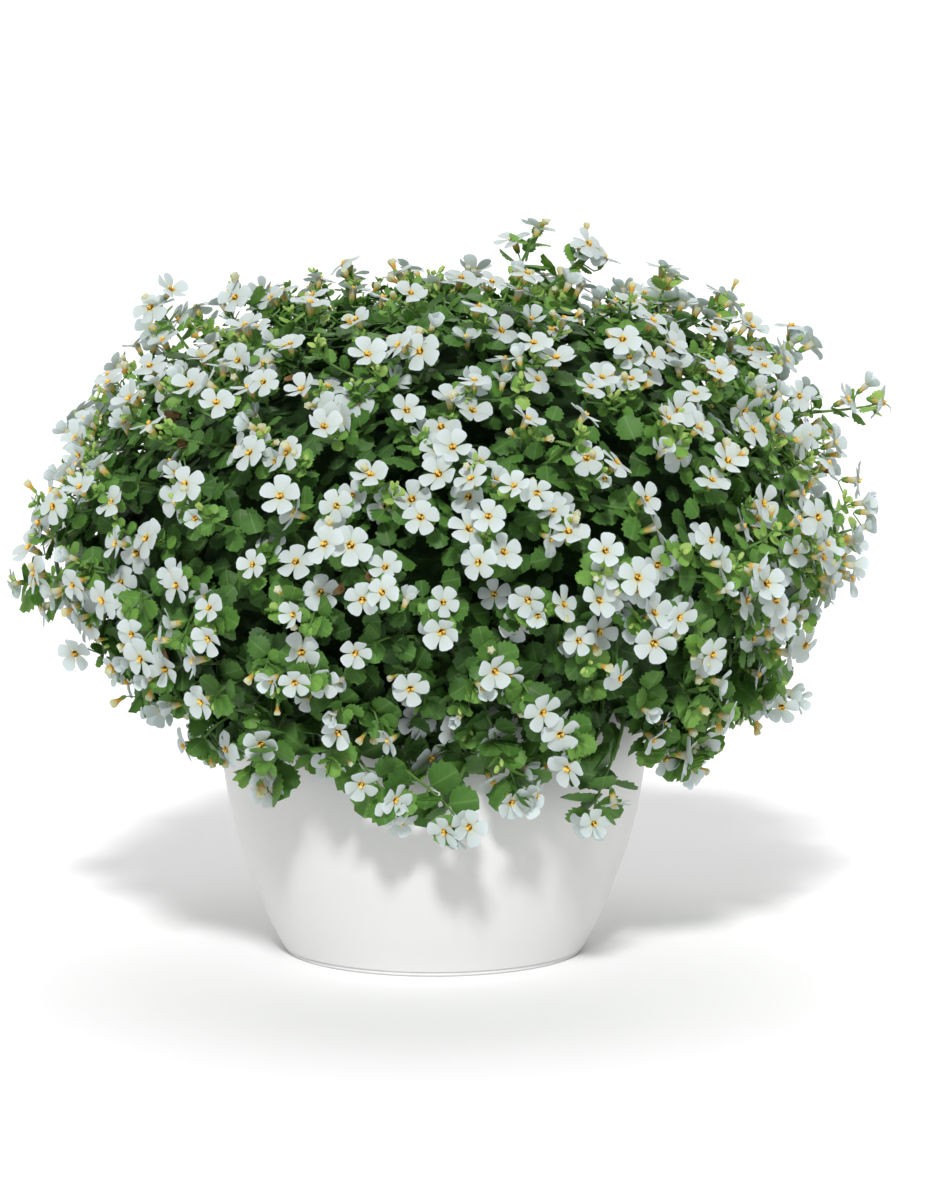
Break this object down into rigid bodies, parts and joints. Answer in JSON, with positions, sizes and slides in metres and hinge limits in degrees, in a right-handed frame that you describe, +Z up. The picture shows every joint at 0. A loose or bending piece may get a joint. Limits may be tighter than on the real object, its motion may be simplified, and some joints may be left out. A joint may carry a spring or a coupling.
{
  "type": "potted bacopa",
  "caption": "Round mound of small toothed leaves and white five-petalled flowers spilling over the rim of a plain tapered white plastic patio pot filled with potting mix.",
  "frame": {"origin": "middle of the pot's flat underside", "axes": "+Z up along the pot's axis; -Y towards the side that the picture shows; +X to the right of that view"},
  "size_m": [0.4838, 0.4714, 0.4063],
  "materials": {
    "pot_plastic": "satin",
    "potting_mix": "matte",
    "foliage": "satin",
    "white_petals": "satin",
    "yellow_throats": "satin"
  },
  "bodies": {
    "root": {"pot": "pot_plastic", "potting_mix": "potting_mix", "leafy_stem_01": "foliage", "leafy_stem_02": "foliage", "leafy_stem_03": "foliage", "leafy_stem_04": "foliage", "leafy_stem_05": "foliage", "leafy_stem_06": "foliage", "leafy_stem_07": "foliage", "leafy_stem_08": "foliage", "leafy_stem_09": "foliage", "leafy_stem_10": "foliage", "leafy_stem_11": "foliage", "leafy_stem_12": "foliage", "leafy_stem_13": "foliage", "leafy_stem_14": "foliage", "leafy_stem_15": "foliage", "leafy_stem_16": "foliage", "leafy_stem_17": "foliage", "leafy_stem_18": "foliage", "leafy_stem_19": "foliage", "leafy_stem_20": "foliage", "leafy_stem_21": "foliage", "leafy_stem_22": "foliage", "leafy_stem_23": "foliage", "leafy_stem_24": "foliage", "leafy_stem_25": "foliage", "leafy_stem_26": "foliage", "leafy_stem_27": "foliage", "leafy_stem_28": "foliage", "leafy_stem_29": "foliage", "leafy_stem_30": "foliage", "leafy_stem_31": "foliage", "leafy_stem_32": "foliage", "leafy_stem_33": "foliage", "leafy_stem_34": "foliage", "leafy_stem_35": "foliage", "leafy_stem_36": "foliage"}
  },
  "joints": []
}
